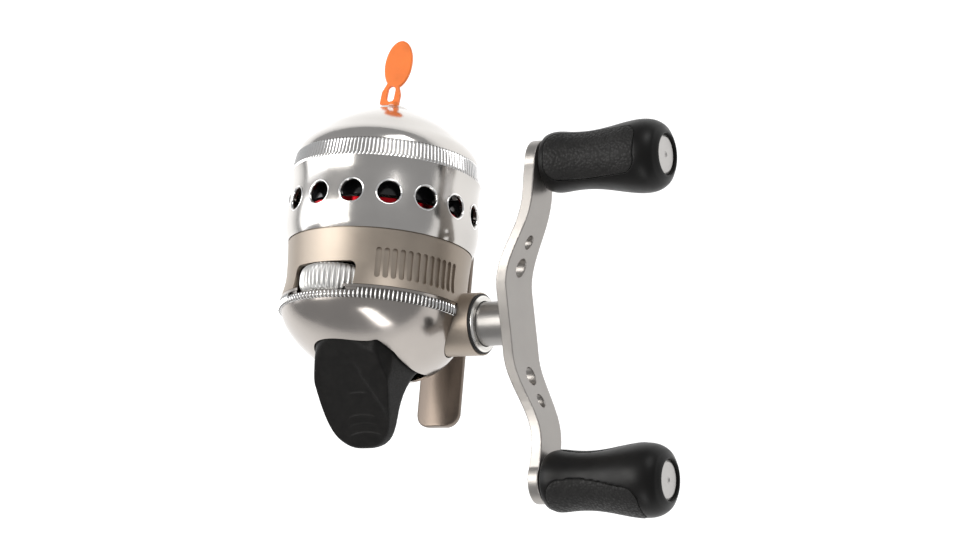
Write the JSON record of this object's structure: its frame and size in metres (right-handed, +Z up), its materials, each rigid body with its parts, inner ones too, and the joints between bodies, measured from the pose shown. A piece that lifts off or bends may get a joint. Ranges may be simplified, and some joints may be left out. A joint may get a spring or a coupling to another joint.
{
  "type": "spincast fishing reel",
  "caption": "Closed-face spincast reel with holed bell cover, thumb button, drag dial, foot and a double-knob crank handle.",
  "frame": {"origin": "centre of the reel foot's flat underside, where it meets the rod's reel seat", "axes": "+Z up through the drag dial, away from the rod; +Y forward out of the nose, along the rod; +X towards the crank handle"},
  "size_m": [0.1137, 0.1351, 0.0693],
  "materials": {
    "polished_aluminium": "polished",
    "satin_champagne": "satin",
    "satin_silver": "satin",
    "steel": "machined",
    "brass": "machined",
    "red_anodised": "anodised",
    "black_gloss": "gloss",
    "black_rubber": "textured",
    "black_plastic": "moulded",
    "orange_plastic": "moulded",
    "clear_line": "wound monofilament",
    "felt": "oiled felt",
    "ceramic": "polished"
  },
  "bodies": {
    "housing": {"body": "satin_champagne", "reel_foot": "satin_champagne", "foot_screws": "steel", "front_cover": "polished_aluminium", "nose_guide": "steel", "rear_cover": "polished_aluminium", "rear_cover_screws": "steel", "side_cap": "satin_silver", "crank_bearing_right": "steel", "crank_bearing_left": "steel", "crank_seal": "black_rubber", "crank_retainer": "polished_aluminium", "anti_reverse_clutch": "steel", "spindle_bearing": "steel", "pinion_bearing": "steel", "spool_clip": "steel", "drag_pusher": "black_plastic", "drag_spring_washer": "steel", "drag_plate": "steel", "drag_felt_washer": "felt", "dial_stud": "steel", "dial_clip": "steel", "button_pin": "steel", "button_spring": "steel", "return_spring": "steel"},
    "crank": {"crankshaft": "steel", "drive_gear": "brass", "gear_clip": "steel", "handle_hub": "satin_silver", "handle_arm": "satin_silver", "handle_screw": "steel", "front_knob_pin": "steel", "rear_knob_pin": "steel", "front_knob_washer": "black_plastic", "rear_knob_washer": "black_plastic"},
    "front_knob": {"front_knob": "black_plastic", "front_knob_pads": "black_rubber", "front_knob_cap": "satin_silver"},
    "rear_knob": {"rear_knob": "black_plastic", "rear_knob_pads": "black_rubber", "rear_knob_cap": "satin_silver"},
    "pinion": {"pinion": "brass"},
    "plunger": {"push_pad": "black_plastic"},
    "spindle": {"spindle": "steel", "spinner_head": "black_gloss", "spinner_nut": "brass"},
    "pickup_pin_1": {"pickup_pin_1": "ceramic"},
    "pickup_pin_2": {"pickup_pin_2": "ceramic"},
    "spool": {"spool": "red_anodised", "line_winding": "clear_line"},
    "drag_dial": {"drag_dial": "polished_aluminium"},
    "thumb_button": {"thumb_button": "black_rubber"},
    "line_tag": {"line_tag": "orange_plastic"}
  },
  "joints": [
    {"name": "crank_turn", "type": "hinge", "parent": "housing", "child": "crank", "pos_m": [0, -0.0082, 0.0335], "axis": [1, 0, 0], "continuous": true},
    {"name": "front_knob_spin", "type": "hinge", "parent": "crank", "child": "front_knob", "pos_m": [0.07, 0.03438, 0.04109], "axis": [1, 0, 0], "continuous": true},
    {"name": "rear_knob_spin", "type": "hinge", "parent": "crank", "child": "rear_knob", "pos_m": [0.07, -0.05078, 0.02592], "axis": [1, 0, 0], "continuous": true},
    {"name": "pinion_spin", "type": "hinge", "parent": "housing", "child": "pinion", "pos_m": [0, 0.002, 0.0415], "axis": [0, 1, 0], "continuous": true},
    {"name": "plunger_slide", "type": "slide", "parent": "housing", "child": "plunger", "axis": [0, 1, 0], "range_m": [0, 0.0028], "deforming": ["return_spring"]},
    {"name": "spindle_spin", "type": "hinge", "parent": "plunger", "child": "spindle", "pos_m": [0, 0.012, 0.0415], "axis": [0, 1, 0], "continuous": true},
    {"name": "pickup_pin_1_retract", "type": "slide", "parent": "spindle", "child": "pickup_pin_1", "axis": [-1, 0, 0], "range_m": [0, 0.002]},
    {"name": "pickup_pin_2_retract", "type": "slide", "parent": "spindle", "child": "pickup_pin_2", "axis": [1, 0, 0], "range_m": [0, 0.002]},
    {"name": "spool_slip", "type": "hinge", "parent": "housing", "child": "spool", "pos_m": [0, 0.018, 0.0415], "axis": [0, 1, 0], "continuous": true},
    {"name": "drag_dial_turn", "type": "hinge", "parent": "housing", "child": "drag_dial", "pos_m": [-0.00182, -0.00175, 0.05881], "axis": [0, 1, 0], "range_deg": [-150, 150]},
    {"name": "button_press", "type": "hinge", "parent": "housing", "child": "thumb_button", "pos_m": [0, -0.009, 0.0575], "axis": [1, 0, 0], "range_deg": [0, 10], "stiffness_Nm_per_rad": 0.25, "springref_deg": -6.88},
    {"name": "line_tag_pull", "type": "slide", "parent": "housing", "child": "line_tag", "axis": [0, 1, 0], "range_m": [0, 0.03]}
  ],
  "couplings": [
    {"joint": "pinion_spin", "follows": "crank_turn", "ratio": -3.4286},
    {"joint": "spindle_spin", "follows": "crank_turn", "ratio": -3.4286},
    {"joint": "button_press", "follows": "plunger_slide", "rad_per_m": 62.327},
    {"joint": "pickup_pin_1_retract", "follows": "plunger_slide", "ratio": 0.71421},
    {"joint": "pickup_pin_2_retract", "follows": "plunger_slide", "ratio": 0.71421}
  ]
}
